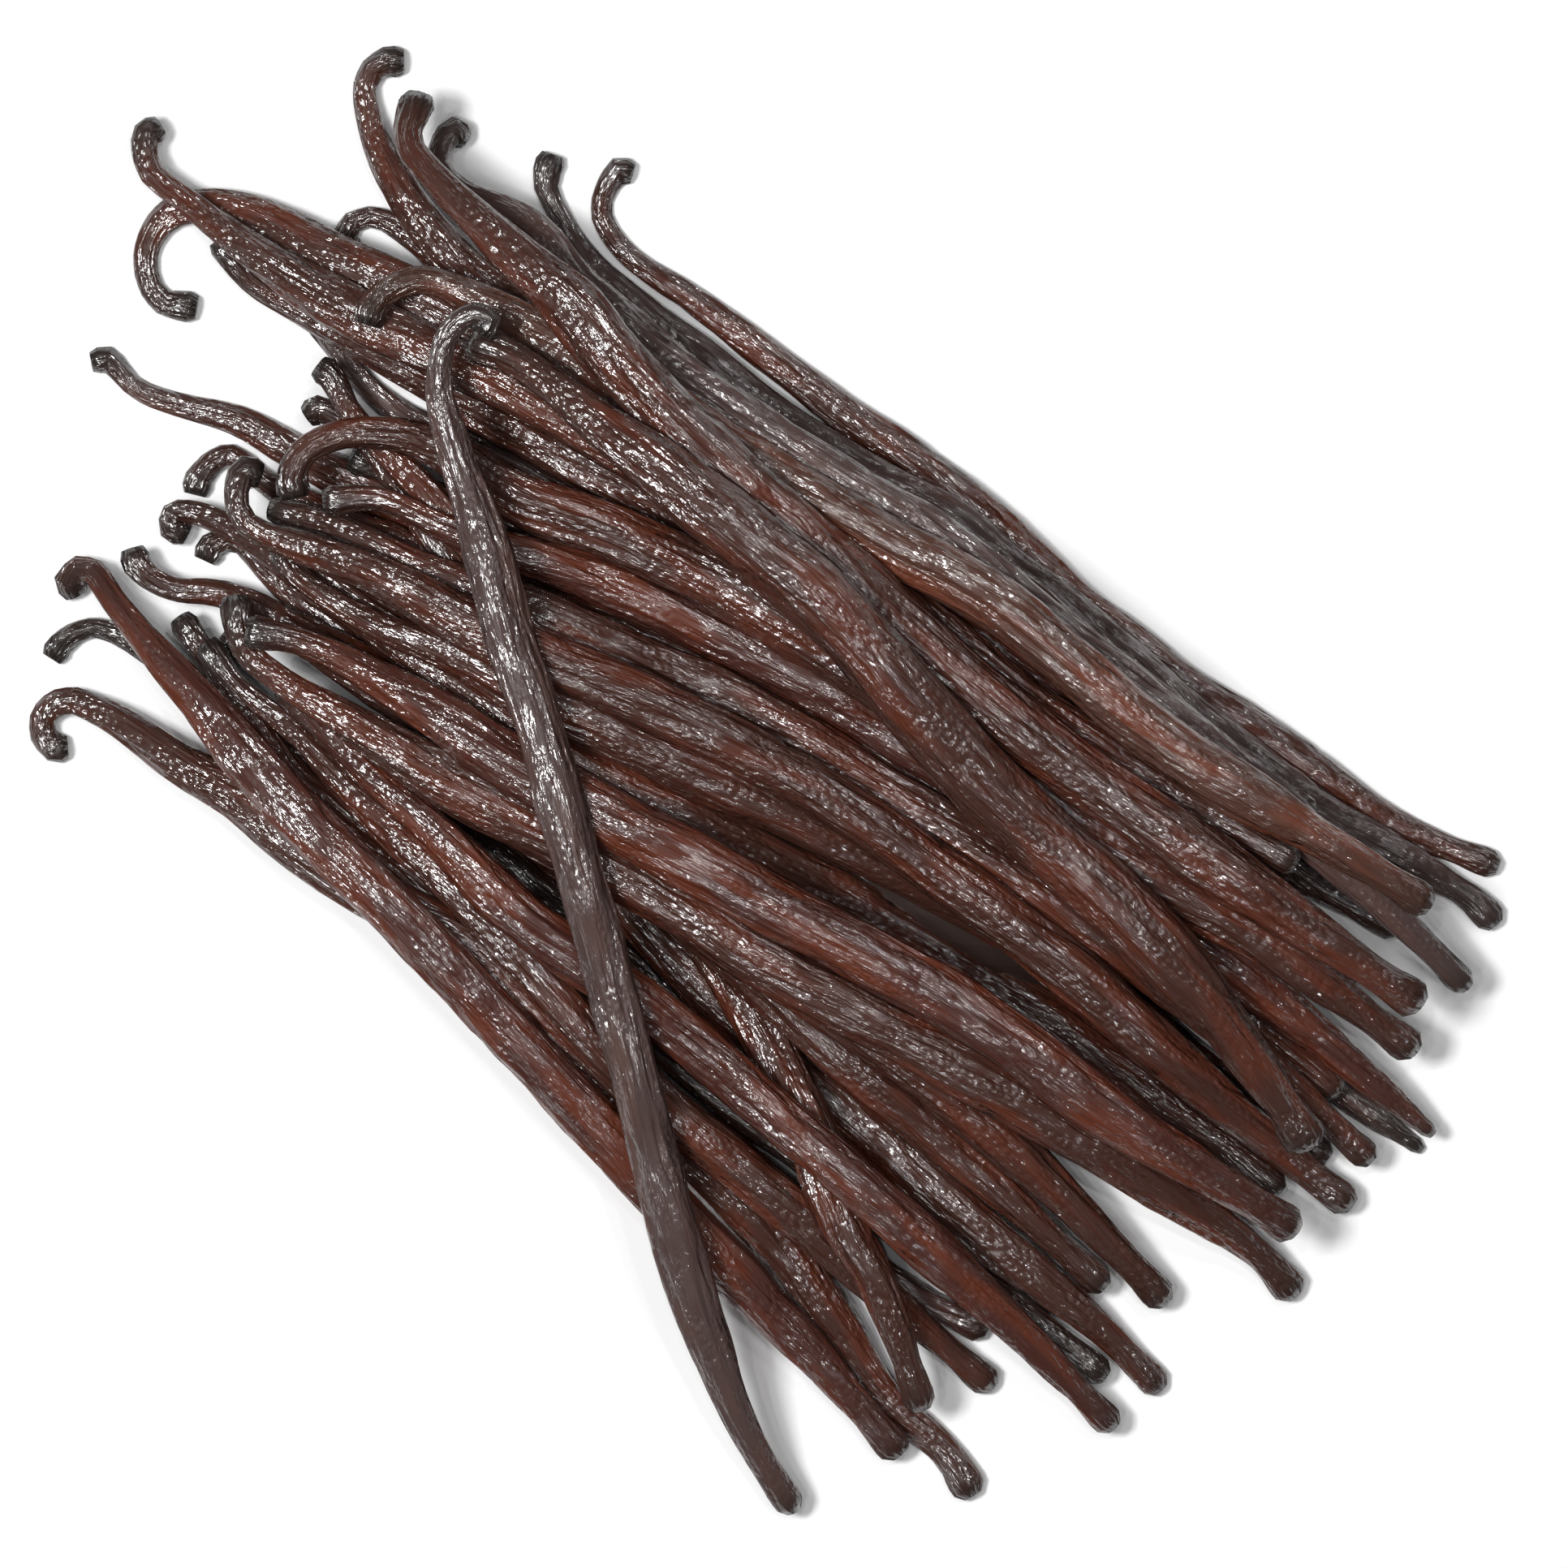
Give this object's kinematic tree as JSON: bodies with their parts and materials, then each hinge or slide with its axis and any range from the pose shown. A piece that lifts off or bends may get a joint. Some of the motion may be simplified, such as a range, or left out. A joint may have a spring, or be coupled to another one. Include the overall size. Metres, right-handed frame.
{
  "type": "bundle of vanilla pods",
  "caption": "Loose heap of long, dark, wrinkled cured vanilla pods lying side by side, with thin curled tips at one end and blunt feet at the other.",
  "frame": {"origin": "centre of the bundle's outline, on the surface that it lies on", "axes": "+Z up; seen from above with +Y up, the pods run from upper left (curled tips) to lower right (feet)"},
  "size_m": [0.1794, 0.1802, 0.0286],
  "materials": {
    "pod_skin": "dark brown, wrinkled and oily, with small bright glints"
  },
  "bodies": {
    "root": {"pod_bundle": "pod_skin"}
  },
  "joints": []
}
